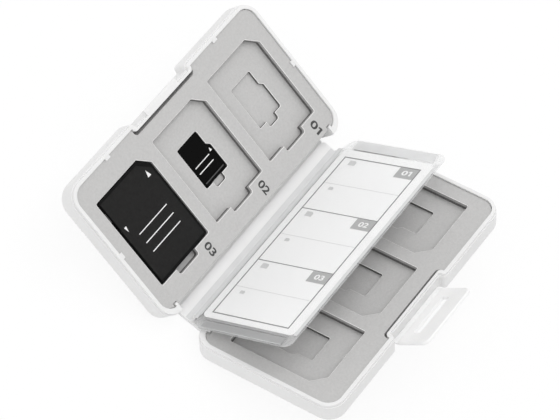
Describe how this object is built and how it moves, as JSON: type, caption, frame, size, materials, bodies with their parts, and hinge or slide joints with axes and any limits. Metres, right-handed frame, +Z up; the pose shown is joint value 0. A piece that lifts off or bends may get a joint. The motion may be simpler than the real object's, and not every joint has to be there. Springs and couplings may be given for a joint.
{
  "type": "memory card case",
  "caption": "Clamshell memory card case with a folding spine, foam card pockets, a slotted snap latch and a hinged index sleeve.",
  "frame": {"origin": "centre of the spine's outer face, which the half-open case stands on", "axes": "+X along the spine, +Y towards the base half with the latch tab, +Z up out of the fold"},
  "size_m": [0.0944, 0.1129, 0.0326],
  "materials": {
    "shell_plastic": "satin",
    "web_plastic": "satin",
    "foam": "matte",
    "sleeve_plastic": "satin",
    "index_paper": "matte",
    "adapter_plastic": "matte",
    "lock_plastic": "satin",
    "card_plastic": "satin",
    "contact_metal": "polished"
  },
  "bodies": {
    "spine": {"spine": "shell_plastic", "base_hinge_film": "web_plastic", "lid_hinge_film": "web_plastic", "sleeve_root_film": "web_plastic"},
    "base": {"base_shell": "shell_plastic", "base_foam_sd_layer": "foam", "base_foam_micro_layer": "foam", "base_foam_backing": "foam", "latch_hinge_film": "web_plastic"},
    "lid": {"lid_shell": "shell_plastic", "lid_foam_sd_layer": "foam", "lid_foam_micro_layer": "foam", "lid_foam_backing": "foam"},
    "latch": {"latch_tab": "shell_plastic"},
    "sleeve": {"sleeve_strip": "sleeve_plastic", "sleeve_back_sheet": "sleeve_plastic", "sleeve_front_film": "sleeve_plastic"},
    "index_card": {"index_card": "index_paper"},
    "adapter": {"adapter_bottom_shell": "adapter_plastic", "adapter_top_shell": "adapter_plastic", "adapter_contacts": "contact_metal"},
    "adapter_lock": {"adapter_lock_slider": "lock_plastic"},
    "micro_card": {"micro_card_body": "card_plastic", "micro_card_contacts": "contact_metal"}
  },
  "joints": [
    {"name": "base_fold", "type": "hinge", "parent": "spine", "child": "base", "pos_m": [0, 0.00665, 0.0004], "axis": [-1, 0, 0], "range_deg": [-66.7, 23.3], "deforming": ["base_hinge_film"]},
    {"name": "lid_fold", "type": "hinge", "parent": "spine", "child": "lid", "pos_m": [0, -0.00665, 0.0004], "axis": [1, 0, 0], "range_deg": [-66.7, 23.3], "deforming": ["lid_hinge_film"]},
    {"name": "latch_flip", "type": "hinge", "parent": "base", "child": "latch", "pos_m": [0, 0.05228, 0.02136], "axis": [-1, 0, 0], "range_deg": [-56, 47], "deforming": ["latch_hinge_film"]},
    {"name": "sleeve_follow", "type": "hinge", "parent": "spine", "child": "sleeve", "pos_m": [0, 0, 0.0042], "axis": [-1, 0, 0], "range_deg": [-45.25, 15.81], "deforming": ["sleeve_root_film"]},
    {"name": "index_card_slide", "type": "slide", "parent": "sleeve", "child": "index_card", "axis": [0, 0.7102, 0.704], "range_m": [0, 0.03]},
    {"name": "adapter_lift", "type": "slide", "parent": "lid", "child": "adapter", "axis": [0, 0.3955, 0.9184], "range_m": [0, 0.01]},
    {"name": "lock_slide", "type": "slide", "parent": "adapter", "child": "adapter_lock", "axis": [0, 0.9184, -0.3955], "range_m": [0, 0.003]},
    {"name": "micro_card_lift", "type": "slide", "parent": "lid", "child": "micro_card", "axis": [0, 0.3955, 0.9184], "range_m": [0, 0.01]}
  ],
  "couplings": [
    {"joint": "sleeve_follow", "follows": "base_fold", "ratio": 0.6784}
  ]
}
